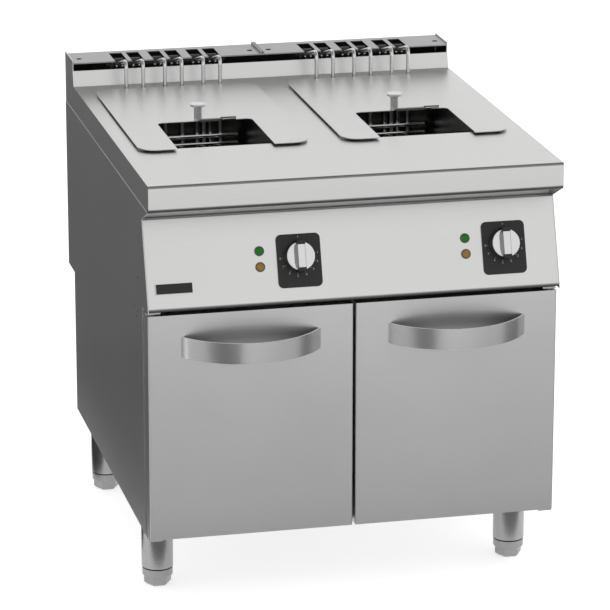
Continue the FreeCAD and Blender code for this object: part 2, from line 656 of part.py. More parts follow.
def door():
    outer = HALF - s.door_side_inset
    inner = s.door_gap / 2
    skin = new_body("DoorSkin")
    left, right = -outer, -inner
    low, high = -DOOR_BOTTOM, -s.door_top_drop
    pad(skin, rectangle(new_sketch(skin, offset=low), left, right, s.door_setback, DOOR_BACK), high - low)
    dress(skin, s.door_corner_radius, lambda mid, box: near(mid.y, s.door_setback) and upright(box))
    shell(skin, s.sheet, lambda mid, box: near(mid.y, DOOR_BACK))
    bush_radius = s.hinge_pin_radius + s.running_gap + s.bush_wall
    hinge_holes = circle(new_sketch(skin, offset=(low + high) / 2), -HINGE_X, HINGE_Y, bush_radius)
    pocket(skin, hinge_holes, 2 * (high - low), both=True)
    node(place(skin), "door_left_skin")
    node(mirrored(skin), "door_right_skin")
    liner = new_body("DoorLiner")
    wall = s.sheet
    edge = DOOR_BACK - s.liner_inset
    rim = edge - s.liner_depth
    pad(liner, rectangle(new_sketch(liner, offset=low + wall), left + wall, right - wall, rim, edge),
        high - low - 2 * wall)
    shell(liner, wall, lambda mid, box: near(mid.y, rim))
    pocket(liner, circle(new_sketch(liner, offset=(low + high) / 2), -HINGE_X, HINGE_Y,
                         bush_radius + s.liner_clearance), 2 * (high - low), both=True)
    node(place(liner), "door_left_liner")
    node(mirrored(liner), "door_right_liner")
    bush_length = s.hinge_pin_length + s.bush_spare
    flange = bush_radius + s.bush_rim
    bore = s.hinge_pin_radius + s.running_gap
    bushes = []
    for rise, turn in ((low, 1), (high, -1)):
        ring = turned([(bore, -s.bush_flange), (flange, -s.bush_flange), (flange, 0), (bush_radius, 0),
                       (bush_radius, bush_length), (bore, bush_length)])
        if turn < 0:
            upside_down = FreeCAD.Rotation(FreeCAD.Vector(1, 0, 0), 180)
            ring.Placement = FreeCAD.Placement(FreeCAD.Vector(), upside_down)
        bushes.append(place(ring, -HINGE_X, FRONT_Y + HINGE_Y, TOP_Z + rise))
    pair = node(together(bushes), "door_left_bushes")
    node(mirrored(pair), "door_right_bushes")
    handle = door_handle((left + right) / 2)
    node(mirrored(handle), "door_right_handle")


def door_handle(x):
    """Band bowed out of the door: two concentric arcs that end on the door's face."""
    body = new_body("Handle")
    half = s.handle_chord / 2
    radius = (half * half + s.handle_reach * s.handle_reach) / (2 * s.handle_reach)
    inner = radius - s.handle_band
    centre = radius - s.handle_reach
    inner_half = root(inner * inner - centre * centre)
    sketch = new_sketch(body, offset=-s.handle_drop - s.handle_height)
    up = FreeCAD.Vector(0, 0, 1)
    for reach, rim in ((half, radius), (inner_half, inner)):
        start = math.atan2(-centre.number, -reach.number)
        end = math.atan2(-centre.number, reach.number)
        arc = sketch.addGeometry(Part.ArcOfCircle(Part.Circle(at(0, centre), up, rim.number), start, end))
        hold(sketch, arc, 3, 0, centre)
        hold(sketch, arc, 1, -reach, 0)
        sketch.addConstraint(Sketcher.Constraint("PointOnObject", arc, 2, -1))
    for point, sign in ((1, -1), (2, 1)):
        line = sketch.addGeometry(Part.LineSegment(at(sign * half, 0), at(sign * inner_half, 0)))
        sketch.addConstraint(Sketcher.Constraint("Coincident", line, 1, 0, point))
        sketch.addConstraint(Sketcher.Constraint("Coincident", line, 2, 1, point))
    pad(body, sketch, s.handle_height)
    return node(place(body, x, FRONT_Y + s.door_setback), "door_left_handle")


def hinges():
    items = []
    plate_front = HINGE_Y - s.hinge_plate_width / 2
    for side in (-1, 1):
        edge = side * (HALF - s.door_side_inset)
        left = edge if side < 0 else edge - s.hinge_plate_width
        for upper in (True, False):
            low = -HINGE_PLATE_DROP if upper else -s.cupboard_drop - s.hinge_plate
            pin_low = low - s.hinge_pin_length if upper else low
            plate = block(left, FRONT_Y + plate_front, TOP_Z + low, s.hinge_plate_width, s.hinge_plate_depth,
                          s.hinge_plate)
            pin = rod(side * HINGE_X, FRONT_Y + HINGE_Y, TOP_Z + pin_low, s.hinge_pin_radius,
                      s.hinge_pin_length + s.hinge_plate)
            items.append(fused([plate, pin]))
    node(together(items), "hinge_plates")
    catch_low = TOP_Z - HINGE_PLATE_DROP - s.rail_height - s.catch_height
    catch_front = FRONT_Y + FRAME_FRONT - s.catch_lead
    catches = [block(side * s.catch_offset - s.catch_width / 2, catch_front, catch_low,
                     s.catch_width, s.catch_depth, s.catch_height) for side in (-1, 1)]
    node(together(catches), "door_catches")


def lid(name, side):
    """Flat lid on four small rests, with two guides that hang inside the tank's mouth."""
    body = new_body("Lid")
    half, notch = s.lid_width / 2, s.cutout_width / 2
    front, inner = s.lid_front, s.cutout_back
    back = s.overall_depth - s.lid_back_inset
    under = s.lid_rise - s.sheet
    profile = [(-half, front), (-notch, front), (-notch, inner), (-s.notch_left, inner),
               (-s.notch_left, inner + s.notch_depth), (s.notch_right, inner + s.notch_depth),
               (s.notch_right, inner), (notch, inner), (notch, front), (half, front), (half, back),
               (-half, back)]
    pad(body, polygon(new_sketch(body, offset=under), profile), s.sheet)
    dress(body, s.lid_corner, lambda mid, box: upright(box) and near(abs(mid.x), half))
    dress(body, s.cutout_corner, lambda mid, box: upright(box) and near(abs(mid.x), notch)
          and near(mid.y, inner))
    rests, guides = new_sketch(body), new_sketch(body, offset=-s.lid_guide_drop)
    guide_outer = s.tank_width / 2 - s.lid_guide_gap
    for turn in (-1, 1):
        edge = turn * (half - s.lid_rest_inset)
        sides = (edge, edge - turn * s.lid_rest_width)
        left, right = sides if turn < 0 else sides[::-1]
        for start in (front + s.lid_corner, back - s.lid_corner - s.lid_rest_length):
            rectangle(rests, left, right, start, start + s.lid_rest_length)
        sides = (turn * guide_outer, turn * (guide_outer - s.sheet))
        left, right = sides if turn < 0 else sides[::-1]
        rectangle(guides, left, right, s.tank_front + s.lid_guide_end, back - s.lid_guide_end)
    pad(body, rests, s.lid_rise - s.sheet / 2)
    pad(body, guides, s.lid_guide_drop + s.lid_rise - s.sheet / 2)
    node(place(body, side * HALF_PITCH), f"{name}_pan")
    stem, head, edge = s.lid_knob_stem, s.lid_knob_head, s.lid_knob_edge
    knob_top = s.lid_knob_height
    neck = knob_top - s.lid_knob_head_height
    post = turned([(0, 0), (stem, 0), (stem, neck), (head - edge, neck), (head, neck + edge),
                   (head, knob_top - edge), (head - edge, knob_top), (0, knob_top)])
    place(post, side * HALF_PITCH - s.lid_knob_offset, FRONT_Y + s.lid_knob_from_front, TOP_Z + s.lid_rise)
    node(post, f"{name}_knob")


def bent_tube(points, bends, radius):
    """Round tube along straight runs joined by tangent arcs; bends gives the radius at each inner point."""
    edges = []
    start = points[0]
    for before, corner, after, bend in zip(points, points[1:], points[2:], bends):
        arrive = (corner - before).normalize()
        leave = (after - corner).normalize()
        turn = arrive.getAngle(leave)
        reach = bend * math.tan(turn / 2)
        first, last = corner - arrive * reach, corner + leave * reach
        inward = (leave - arrive).normalize()
        crest = corner + inward * (bend / math.cos(turn / 2) - bend)
        if (first - start).Length > 1e-6:
            edges.append(Part.LineSegment(start, first).toShape())
        edges.append(Part.Arc(first, crest, last).toShape())
        start = last
    edges.append(Part.LineSegment(start, points[-1]).toShape())
    path = Part.Wire(edges)
    section = Part.Wire([Part.makeCircle(radius, points[0], points[1] - points[0])])
    tube = path.makePipeShell([section], True, False)
    if abs(tube.Volume - math.pi * radius ** 2 * path.Length) > 0.01 * tube.Volume:
        raise RuntimeError("a tube does not follow its path")
    return tube


def heating_element(x):
    """One element: both ends at the collars, over the upstand, down the back of the tank and out to a U."""
    half = s.leg_pitch.number / 2
    leg, depth, reach = RISER_LINE.number, -s.element_drop.number, s.element_front.number
    slope = math.radians(s.tube_slope.number)
    end_y = PIVOT_LINE.number - s.collar_radius.number * math.cos(slope)
    end_z = s.pivot_rise.number + s.collar_radius.number * math.sin(slope)
    corner_z = end_z + (end_y - leg) * math.tan(slope)
    side = [(end_y, end_z), (leg, corner_z), (leg, depth), (reach, depth)]
    left = [FreeCAD.Vector(x - half, y, z) for y, z in side]
    right = [FreeCAD.Vector(x + half, y, z) for y, z in reversed(side)]
    bends = [bend.number for bend in (s.tube_bend, s.foot_bend, s.u_bend, s.u_bend, s.foot_bend, s.tube_bend)]
    return bent_tube(left + right, bends, s.tube_radius.number)


def element_set(name, side):
    centre = side * HALF_PITCH
    tubes = DOC.addObject("Part::Feature", "Tubes")
    tubes.Shape = Part.makeCompound([heating_element(element * s.element_pitch.number)
                                     for element in (-1, 0, 1)])
    node(place(tubes, centre), f"{name}_tubes")
    pivot_y, pivot_z = FRONT_Y + PIVOT_LINE, TOP_Z + s.pivot_rise
    shaft = rod(centre - s.shaft_length / 2, pivot_y, pivot_z, s.shaft_radius, s.shaft_length, "x")
    collars = [rod(centre + shift - s.collar_width / 2, pivot_y, pivot_z, s.collar_radius,
                   s.collar_width, "x") for shift in LEG_SHIFTS]
    node(fused([shaft] + collars), f"{name}_shaft")
    bar_y = FRONT_Y + RISER_LINE - s.tube_radius - s.bar_radius
    bars = [rod(centre - s.bar_length / 2, bar_y, TOP_Z - drop, s.bar_radius, s.bar_length, "x")
            for drop in (s.upper_bar_drop, s.lower_bar_drop)]
    node(together(bars), f"{name}_tie_bars")
    bulb_y = bar_y + s.bar_radius + s.bulb_radius + s.gap
    bulb_low = TOP_Z - s.bulb_top_drop - s.bulb_length
    bulbs = [rod(centre + s.bulb_offset + step * s.bulb_pitch, bulb_y, bulb_low, s.bulb_radius, s.bulb_length)
             for step in (0, 1)]
    node(together(bulbs), f"{name}_bulbs")


def upstand():
    channel_back = s.overall_depth - 2 * s.sheet
    half = WORKTOP_HALF - s.top_sheet
    channel_front = s.overall_depth - s.channel_front_inset
    pan("rear_channel", -half, half, channel_front, channel_back, 0, s.channel_wall,
        lambda mid, box: near(mid.z, s.channel_wall))
    bearings = []
    for side in (-1, 1):
        for end in (-1, 1):
            body = new_body("Bearing")
            reach = s.shaft_radius + s.bearing_wall
            plate = rounded(new_sketch(body, "YZ_Plane"), PIVOT_LINE - reach, PIVOT_LINE + reach,
                            s.sheet, s.pivot_rise + reach, s.bearing_corner)
            pad(body, plate, s.bearing_thickness, both=True)
            pocket(body, circle(new_sketch(body, "YZ_Plane"), PIVOT_LINE, s.pivot_rise,
                                s.shaft_radius + s.running_gap), 2 * s.bearing_thickness, both=True)
            bearings.append(place(body, side * HALF_PITCH + end * s.bearing_offset))
    node(together(bearings), "pivot_bearings")
    cover = new_body("Cover")
    back = s.overall_depth - s.sheet
    top, under = s.upstand_height, s.upstand_height - s.sheet
    inner = s.gap / 2
    outer = WORKTOP_HALF - s.top_sheet - s.gap
    lip_low, lip_back = under - s.cover_lip, COVER_FRONT + s.sheet
    profile = [(COVER_FRONT, top), (COVER_FRONT, lip_low), (lip_back, lip_low), (lip_back, under),
               (back, under), (back, top)]
    pad(cover, polygon(new_sketch(cover, "YZ_Plane", -outer), profile), outer - inner)
    rib = rectangle(new_sketch(cover, "YZ_Plane", -s.rib_gap), COVER_FRONT, back, under, top + s.rib_height)
    pad(cover, rib, s.rib_width, back=True)
    cuts = new_sketch(cover, offset=top)
    for shift in LEG_SHIFTS:
        centre = -HALF_PITCH + shift
        rectangle(cuts, centre - s.slot_width / 2, centre + s.slot_width / 2, COVER_FRONT - s.sheet,
                  s.overall_depth - s.slot_back_inset)
    for x in (-HALF + s.cover_hole_inset, -s.cover_hole_inset):
        circle(cuts, x, s.overall_depth - s.cover_hole_line_inset, s.cover_hole_radius)
    pocket(cover, cuts, 4 * (s.cover_lip + s.sheet), both=True)
    node(place(cover), "upstand_cover_left")
    node(mirrored(cover), "upstand_cover_right")


def drain(side, pipes, valves):
    x = side * HALF_PITCH
    y = FRONT_Y + s.drain_from_front
    pipe_radius = s.drain_radius - s.gap
    pipe_top = TOP_Z - s.tank_depth + s.sheet
    pipe_low = pipe_top - s.pipe_length
    pipes.append(cut(rod(x, y, pipe_low, pipe_radius, s.pipe_length),
                     rod(x, y, pipe_low, s.pipe_bore, s.pipe_length)))
    valve_low = pipe_low - s.valve_length
    outlet_low = valve_low - s.outlet_length
    casing = fused([rod(x, y, valve_low, s.valve_radius, s.valve_length),
                    rod(x, y, outlet_low, pipe_radius, s.outlet_length)])
    stem_z = valve_low + s.valve_length / 2
    stem_front = y - s.valve_radius - s.stem_length
    stem_depth = s.stem_length + s.valve_radius
    bore = fused([rod(x, y, outlet_low, s.pipe_bore, s.outlet_length + s.valve_length),
                  rod(x, stem_front, stem_z, s.stem_radius + s.running_gap, stem_depth, "y")])
    valves.append(cut(casing, bore))
    name = "left" if side < 0 else "right"
    stem = rod(x, stem_front, stem_z, s.stem_radius, stem_depth - s.pipe_bore, "y")
    lever_low = stem_z - s.lever_width / 2
    grip = block(x - s.lever_width / 2, stem_front - s.lever_sheet, lever_low, s.lever_length, s.lever_sheet,
                 s.lever_width)
    node(fused([stem, grip]), f"drain_lever_{name}")


def legs():
    bottom = s.worktop_height - s.cupboard_drop
    sleeve_low = bottom - s.sleeve_length
    sleeves = []
    inner = s.sleeve_radius - s.sleeve_wall
    thread = s.stud_radius + s.running_gap
    for front_name, back in (("front", s.leg_front), ("rear", s.overall_depth - s.leg_back_inset)):
        for side_name, side in (("left", -1), ("right", 1)):
            x, y = side * (HALF - s.leg_inset), FRONT_Y + back
            top = s.sleeve_length
            sleeve = turned([(thread, 0), (s.sleeve_radius, 0), (s.sleeve_radius, top - s.leg_plate),
                             (s.leg_plate_radius, top - s.leg_plate), (s.leg_plate_radius, top), (inner, top),
                             (inner, s.nut_height), (thread, s.nut_height)])
            sleeves.append(place(sleeve, x, y, sleeve_low))
            foot = new_body("Foot")
            corner = s.foot_radius
            across = corner * math.sqrt(3) / 2
            hexagon = [(corner, 0), (corner / 2, across), (-corner / 2, across), (-corner, 0),
                       (-corner / 2, -across), (corner / 2, -across)]
            pad(foot, polygon(new_sketch(foot), hexagon), sleeve_low - s.foot_ring)
            dress(foot, s.foot_chamfer, lambda mid, box: near(mid.z, 0) and box.ZLength < 1e-6, "Chamfer")
            ring = circle(new_sketch(foot, offset=sleeve_low - s.foot_ring), 0, 0, corner + s.foot_ring_reach)
            pad(foot, ring, s.foot_ring)
            stud = circle(new_sketch(foot, offset=sleeve_low), 0, 0, s.stud_radius)
            pad(foot, stud, s.stud_length)
            node(place(foot, x, y, 0), f"foot_{front_name}_{side_name}")
    node(together(sleeves), "leg_sleeves")


def cable_gland():
    neck = s.gland_radius - s.gap
    ring = turned([(s.gland_bore, -s.gland_neck), (neck, -s.gland_neck), (neck, 0), (s.gland_nut, 0),
                   (s.gland_nut, s.gland_nut_height), (s.gland_radius, s.gland_nut_height + s.gland_cone),
                   (s.gland_radius - s.gland_cone, s.gland_length), (s.gland_bore, s.gland_length)])
    ring.Placement = FreeCAD.Placement(FreeCAD.Vector(), FreeCAD.Rotation(FreeCAD.Vector(1, 0, 0), -90))
    place(ring, HALF - s.gland_inset, FRONT_Y + REAR_LOW - s.sheet, TOP_Z - s.gland_drop)
    node(ring, "cable_gland")


def build():
    worktop()
    tank("tank_left", -1)
    tank("tank_right", 1)
    cupboard()
    control_panel()
    fascia_fittings()
    electrical()
    door()
    hinges()
    upstand()
    pipes, valves = [], []
    for name, side in (("left", -1), ("right", 1)):
        knob(f"knob_{name}", side)
        lid(f"lid_{name}", side)
        element_set(f"element_{name}", side)
        drain(side, pipes, valves)
    node(together(pipes), "drain_pipes")
    node(together(valves), "drain_valves")
    legs()
    cable_gland()


build()
DOC.recompute()
faults = [item.Name for item in DOC.Objects if "Invalid" in item.State or "Error" in item.State]
faults += [item.Label for item in NODES if item.Shape.isNull() or not item.Shape.isValid()]
if faults:
    raise RuntimeError(f"these did not build: {faults}")
os.makedirs("parts", exist_ok=True)
for item in NODES:
    item.Shape.exportStep(f"parts/{item.Label}.step")
print(len(NODES), "pieces written")
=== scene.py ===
import json
import math

import bmesh
import bpy
from mathutils import Matrix, Vector


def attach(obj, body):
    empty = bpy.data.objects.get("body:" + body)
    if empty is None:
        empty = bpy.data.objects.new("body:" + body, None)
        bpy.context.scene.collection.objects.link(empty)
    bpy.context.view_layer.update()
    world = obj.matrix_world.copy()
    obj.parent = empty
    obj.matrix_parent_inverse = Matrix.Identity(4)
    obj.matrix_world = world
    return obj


# Twin-tank electric fryer: finishes, small fittings, studio and camera.
# Everything is in metres in the model's own frame: x right, y back, z up from the floor.

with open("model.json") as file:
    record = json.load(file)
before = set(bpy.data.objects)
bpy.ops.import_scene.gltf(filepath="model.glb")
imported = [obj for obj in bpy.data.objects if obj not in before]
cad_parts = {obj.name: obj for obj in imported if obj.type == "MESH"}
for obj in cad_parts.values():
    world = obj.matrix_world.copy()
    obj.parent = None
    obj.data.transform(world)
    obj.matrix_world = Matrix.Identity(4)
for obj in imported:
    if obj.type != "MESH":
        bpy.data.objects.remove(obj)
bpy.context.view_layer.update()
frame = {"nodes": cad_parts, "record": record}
nodes = frame["nodes"]
RECORD_SLOTS = {material["slot"] for material in frame["record"]["materials"]}
for imported in list(bpy.data.materials):
    bpy.data.materials.remove(imported)

UP = Vector((0, 0, 1))
LEFT = Vector((-1, 0, 0))
RIGHT = Vector((1, 0, 0))
BACK = Vector((0, 1, 0))
FRONTWARD = Vector((0, -1, 0))

# Datum of the worktop: its front edge and its top face
FRONT = -0.4425
TOP = 0.850

# Outer faces: the side panels from the middle, and the rear panel's two steps back from the front edge
SIDE_FACE = 0.3986
REAR_FACE = 0.9285
LOWER_REAR_FACE = 0.8555

# Middles of the tanks, and the legs of the heating tubes right and left of them
HALF_PITCH = 0.2
TANK_X = {"left": -HALF_PITCH, "right": HALF_PITCH}
ELEMENT_PITCH = 0.0804
LEG_REACH = 0.0176
LEG_SHIFTS = [element * ELEMENT_PITCH + way * LEG_REACH for element in (-1, 0, 1) for way in (-1, 1)]

# Sloped control panel: its top and foot as (back, rise), its slope, and the middles of the knobs on it
FASCIA_TOP = (0.0684, -0.0802)
FASCIA_FOOT = (0.01224, -0.2465)
FASCIA_TILT = math.atan2(FASCIA_TOP[0] - FASCIA_FOOT[0], FASCIA_TOP[1] - FASCIA_FOOT[1])
FASCIA_OUT = Vector((0, -math.cos(FASCIA_TILT), math.sin(FASCIA_TILT)))
FASCIA_DOWN = Vector((0, -math.sin(FASCIA_TILT), -math.cos(FASCIA_TILT)))
DIAL_SHIFT = 0.0945
DIAL_X = {side: x + DIAL_SHIFT for side, x in TANK_X.items()}
KNOB_DOWN = 0.087

# Heights of the knob out from the panel: its skirt, the face of its cap and the top of its grip bar.
# The bar turns black past the grip's reach. Its end caps stand a step above it, its cheeks end a step below.
SKIRT_TOP = 0.0085
CAP_FACE = 0.0210
GRIP_TOP = 0.0290
GRIP_REACH = 0.0225
GRIP_STEP = 0.0006

# Middles of the feet on the floor
FOOT_X = 0.3565
FOOT_BACKS = {"front": 0.1837, "rear": 0.7575}
FOOT_PLACES = {f"foot_{end}_{side}": Vector((way * FOOT_X, FRONT + back, 0))
               for end, back in FOOT_BACKS.items() for side, way in (("left", -1), ("right", 1))}


def place(x, back, rise):
    """Point given by its distances from the worktop's front edge and top face."""
    return Vector((x, FRONT + back, TOP + rise))


def on_fascia(x, down, out=0.0):
    """Point given by its distances down the control panel from its top edge and out from it."""
    return place(x, *FASCIA_TOP) + FASCIA_DOWN * down + FASCIA_OUT * out


# Sockets of the Mix node for colours, by number, because other types share their names
MIX_FACTOR = 0
MIX_FIRST = 6
MIX_SECOND = 7
MIX_RESULT = 2


class Sock:
    """Output of a shader node that takes part in sums; node() makes any other node from it."""

    def __init__(self, tree, output=None):
        self.tree = tree
        self.output = output

    def link(self, value, target):
        if isinstance(value, Sock):
            self.tree.links.new(value.output, target)
        else:
            target.default_value = value

    def node(self, kind, output, settings=None, sockets=None):
        """Any node: its settings first, then the values or links of its sockets by name or number."""
        made = self.tree.nodes.new("ShaderNode" + kind)
        for name, value in (settings or {}).items():
            setattr(made, name, value)
        for socket, value in (sockets or {}).items():
            self.link(value, made.inputs[socket])
        return Sock(self.tree, made.outputs[output])

    def math(self, operation, first, second=0.0):
        return self.node("Math", 0, {"operation": operation}, {0: first, 1: second})

    def __add__(self, other):
        return self.math("ADD", self, other)

    def __radd__(self, other):
        return self.math("ADD", other, self)

    def __sub__(self, other):
        return self.math("SUBTRACT", self, other)

    def __rsub__(self, other):
        return self.math("SUBTRACT", other, self)

    def __mul__(self, other):
        return self.math("MULTIPLY", self, other)

    def __rmul__(self, other):
        return self.math("MULTIPLY", other, self)

    def size(self):
        return self.math("ABSOLUTE", self)

    def step(self, low, high):
        """Smooth rise from 0 at low to 1 at high."""
        sockets = {"Value": self, "From Min": low, "From Max": high}
        return self.node("MapRange", "Result", {"interpolation_type": "SMOOTHSTEP"}, sockets)

    def axis(self, name):
        return self.node("SeparateXYZ", name, sockets={"Vector": self})

    def blend(self, first, second):
        """Colour between first and second by this factor."""
        first, second = (colour if isinstance(colour, Sock) else (*colour, 1.0) for colour in (first, second))
        sockets = {MIX_FACTOR: self, MIX_FIRST: first, MIX_SECOND: second}
        return self.node("Mix", MIX_RESULT, {"data_type": "RGBA"}, sockets)


materials = {}


class Finish:
    """A material with its principled shader and the object's coordinates in metres."""

    def __init__(self, name, colour, metallic=0.0):
        self.material = bpy.data.materials.new(name)
        self.material.use_nodes = True
        tree = self.material.node_tree
        self.shader = tree.nodes["Principled BSDF"]
        self.colour = colour
        self.point = Sock(tree).node("TexCoord", "Object")
        self.y = self.point.axis("Y")
        self.z = self.point.axis("Z")
        self.set("Metallic", metallic)

    def set(self, socket, value):
        self.point.link(value, self.shader.inputs[socket])

    def noise(self, scale, detail, stretch=(1, 1, 1)):
        """Noise about zero."""
        stretched = self.point.node("Mapping", "Vector", sockets={"Vector": self.point, "Scale": stretch})
        sockets = {"Vector": stretched, "Scale": scale, "Detail": detail}
        return self.point.node("TexNoise", "Fac", sockets=sockets) - 0.5

    def brushing(self, stretch):
        """Fine streaks along one axis."""
        return self.noise(60.0, 4.0, stretch)

    def bump(self, height, strength, distance):
        sockets = {"Height": height, "Strength": strength, "Distance": distance}
        self.set("Normal", self.point.node("Bump", "Normal", sockets=sockets))

    def tinted(self, factor):
        """The finish's colour, darker below a factor of a half and lighter above it."""
        dark = tuple(channel * 0.5 for channel in self.colour)
        light = tuple(min(1.0, channel * 1.5) for channel in self.colour)
        return factor.blend(dark, light)

    def done(self, shade, roughness):
        """Set the last two values and keep the material under its name."""
        self.set("Base Color", shade)
        self.set("Roughness", roughness)
        materials[self.material.name] = self.material


def steel(name, colour, roughness, stretch, streak=0.12, cloud=0.10, metallic=1.0):
    """Brushed sheet: fine streaks along one axis, a slow drift of tone and faint wiped patches."""
    finish = Finish(name, colour, metallic)
    streaks = finish.brushing(stretch)
    drift = finish.noise(3.0, 2.0)
    wiped = finish.noise(14.0, 3.0).step(0.05, 0.20)
    finish.bump(streaks, 0.05, 0.0004)
    shade = finish.tinted(0.5 + streaks * streak + drift * cloud)
    finish.done(shade, roughness + streaks * 0.12 + drift * 0.10 + wiped * 0.02)


def plastic(name, colour, roughness, gloss=0.3):
    """Moulded or printed surface: a fine speck under a slow drift of tone."""
    finish = Finish(name, colour)
    finish.set("Specular IOR Level", gloss)
    speck = finish.noise(900.0, 2.0)
    drift = finish.noise(12.0, 2.0)
    finish.bump(speck, 0.15, 0.0003)
    finish.done(finish.tinted(0.5 + drift * 0.2), roughness + drift * 0.15 + speck * 0.1)


def sheet(name, colour, roughness, stretch, zones):
    """Brushed sheet with zones of painted light and shade, each given by its mask, its grey tone and its
    metallic value; the zones are rougher too.
    """
    finish = Finish(name, colour)
    streaks = finish.brushing(stretch)
    drift = finish.noise(3.0, 2.0)
    finish.bump(streaks, 0.05, 0.0004)
    shade = finish.tinted(0.5 + streaks * 0.12 + drift * 0.10)
    rough = roughness + streaks * 0.12 + drift * 0.10
    metal = 1.0
    for mask, tone, metallic in zones:
        zone = mask(finish)
        shade = zone.blend(shade, (tone, tone, tone))
        rough = rough + zone * 0.25
        metal = metal - zone * (1.0 - metallic)
    finish.set("Metallic", metal)
    finish.done(shade, rough)


# Zones of painted light and shade on the folded sheets, and the widths over which they fade in
RECESS_BACK = 0.0863
HEM_HEIGHT = 0.0078
NOSE_RADIUS = 0.0050
LIP_DEPTH = 0.012
LIP_DROP = 0.0430
SHARP_FADE = 0.0003
NOSE_FADE = 0.0012
SOFT_FADE = 0.0040
FLANGE_FADE = (0.0040, 0.0070)


def behind_upstand(finish):
    """Inner side of the rear panel above the worktop, painted near black as shade."""
    inside = (FRONT + REAR_FACE - SHARP_FADE - finish.y).step(0.0, 0.0004)
    return inside * (finish.z - TOP).step(-0.02, 0.0)


def recess_flange(finish):
    """Fold that runs back from the panel's top edge, up to the upright fold, painted darker as shade in the
    recess.
    """
    behind_edge = (finish.y - (FRONT + FASCIA_TOP[0])).step(*FLANGE_FADE)
    return behind_edge * (FRONT + RECESS_BACK + SHARP_FADE - finish.y).step(0.0, SHARP_FADE)


def recess_upright(finish):
    """Fold that stands up at the back of the flange, painted pale and matt as a highlight."""
    return (finish.y - (FRONT + RECESS_BACK)).step(0.0, SHARP_FADE)


def panel_hem(finish):
    """Folded foot of the control panel, painted darker as shade."""
    return (TOP + FASCIA_FOOT[1] + HEM_HEIGHT - finish.z).step(0.0, SOFT_FADE)


def nose(finish):
    """Rounded top edge along the worktop's front, painted darker as shade."""
    forward = (FRONT + NOSE_RADIUS - finish.y).step(0.0, NOSE_FADE)
    return forward * (finish.z - TOP + NOSE_RADIUS).step(0.0, NOSE_FADE)


def under_lip(finish):
    """Underside of the worktop's rounded front edge, painted darker as shade."""
    below = (TOP - LIP_DROP - finish.z).step(0.0, SOFT_FADE)
    return below * (FRONT + LIP_DEPTH - finish.y).step(0.0, 0.001)


def tank_finish():
    """Pressed tank, lighter under the rim and much darker lower down."""
    rim_tone, low_tone = (0.36, 0.355, 0.35), (0.028, 0.026, 0.023)
    rim, fade = 0.02, 0.06
    finish = Finish("tank_steel", rim_tone, 1.0)
    depth = (TOP - rim - finish.z).step(0.0, fade)
    mottle = finish.noise(7.0, 4.0)
    depth_tone = (depth * (0.75 + mottle * 0.5)).blend(rim_tone, low_tone)
    finish.bump(mottle, 0.1, 0.002)
    finish.done(depth_tone, 0.30 + mottle * 0.2)


def lens_finish(name, deep, pale):
    """Lamp lens with fine ribs behind a smooth face."""
    finish = Finish(name, deep)
    finish.set("Specular IOR Level", 0.2)
    finish.set("Coat Weight", 0.1)
    sockets = {"Vector": finish.point, "Scale": 160.0, "Distortion": 0.0}
    ribs = finish.point.node("TexWave", "Fac", {"bands_direction": "X"}, sockets)
    drift = finish.noise(120.0, 2.0)
    finish.done((ribs * 0.35 + drift * 0.6).blend(deep, pale), 0.22 + drift * 0.1)


def over_dial(finish):
    """Distances from a knob's middle: up the slope of the panel and out from it."""
    middle = on_fascia(0, KNOB_DOWN)
    level = finish.z - middle.z
    depth = finish.y - middle.y
    rise = level * math.cos(FASCIA_TILT) + depth * math.sin(FASCIA_TILT)
    out = level * math.sin(FASCIA_TILT) - depth * math.cos(FASCIA_TILT)
    return rise, out


def knob_finish():
    """Silver knob face whose grip bar has black ends."""
    finish = Finish("knob_silver", (0.72, 0.72, 0.72))
    rise, out = over_dial(finish)
    beyond = rise.size().step(GRIP_REACH, GRIP_REACH + 0.0005)
    ends = beyond * (out - (CAP_FACE + SHARP_FADE)).step(0.0, 0.0004)
    streaks = finish.brushing(ALONG_X)
    finish.set("Metallic", 1.0 - ends)
    shade = ends.blend(finish.tinted(0.5 + streaks * 0.05), (0.03, 0.03, 0.032))
    finish.done(shade, 0.28 + streaks * 0.06)


def knob_body_finish():
    """Black knob body with a silver wall above its skirt, the wall's silver darkened as painted shade."""
    finish = Finish("knob_body", (0.020, 0.020, 0.021))
    out = over_dial(finish)[1]
    wall = (out - SKIRT_TOP).step(0.0, 0.0008)
    speck = finish.noise(900.0, 2.0)
    finish.bump(speck, 0.1, 0.0003)
    finish.set("Metallic", wall)
    shade = wall.blend(finish.tinted(0.5 + speck * 0.2), (0.22, 0.22, 0.218))
    finish.done(shade, 0.36 + speck * 0.1)


def handle_finish():
    """Smooth polished band; its inner side is duller and painted darker as shade."""
    finish = Finish("handle_steel", (0.88, 0.88, 0.875), 1.0)
    inside = finish.point.node("TexCoord", "Normal").axis("Y").step(0.1, 0.4)
    streaks = finish.brushing(ALONG_X)
    finish.bump(streaks, 0.03, 0.0004)
    shade = inside.blend(finish.tinted(0.5 + streaks * 0.05), (0.09, 0.09, 0.09))
    finish.done(shade, 0.24 + streaks * 0.05 + inside * 0.2)


# Brushing along the width or the height, and the tone and roughness of the two main sheets
ALONG_X = (0.6, 30, 30)
ALONG_Z = (30, 30, 0.6)
SATIN = (0.66, 0.658, 0.652)
SATIN_ROUGHNESS = 0.34
PLAIN = (0.58, 0.58, 0.582)
PLAIN_ROUGHNESS = 0.38

